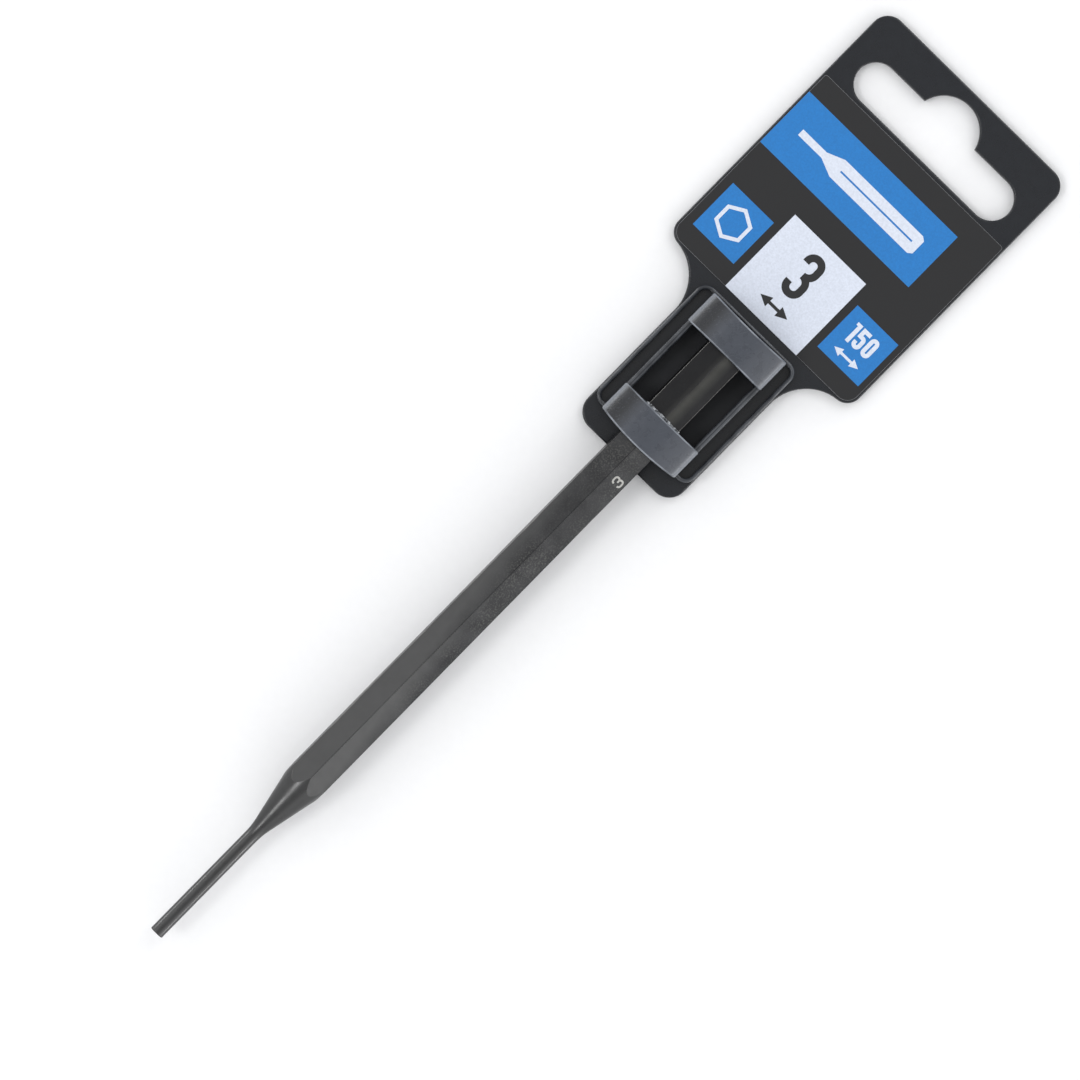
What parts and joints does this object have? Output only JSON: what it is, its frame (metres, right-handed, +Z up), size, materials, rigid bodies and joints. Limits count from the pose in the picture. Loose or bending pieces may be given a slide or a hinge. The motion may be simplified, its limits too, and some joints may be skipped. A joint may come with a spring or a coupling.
{
  "type": "pin punch",
  "caption": "Hexagonal steel pin punch held by its shank in a flat plastic hanger with a hanging slot and a printed label.",
  "frame": {"origin": "under the middle of the whole assembly, in the plane of the hanger's back face that lies on the table", "axes": "+Y runs along the punch from its pin to its head and on to the hanging slot, +Z points up out of the label, +X to the label's right"},
  "size_m": [0.0462, 0.2132, 0.0119],
  "materials": {
    "blackened_steel": "black oxide, satin",
    "hanger_plastic": "moulded, semi-gloss",
    "label_film": "printed film, matt"
  },
  "bodies": {
    "hanger": {"hanger": "hanger_plastic", "label": "label_film"},
    "punch": {"punch": "blackened_steel"}
  },
  "joints": [
    {"name": "punch_draw", "type": "slide", "parent": "hanger", "child": "punch", "axis": [0, -1, 0], "range_m": [0, 0.035]}
  ]
}
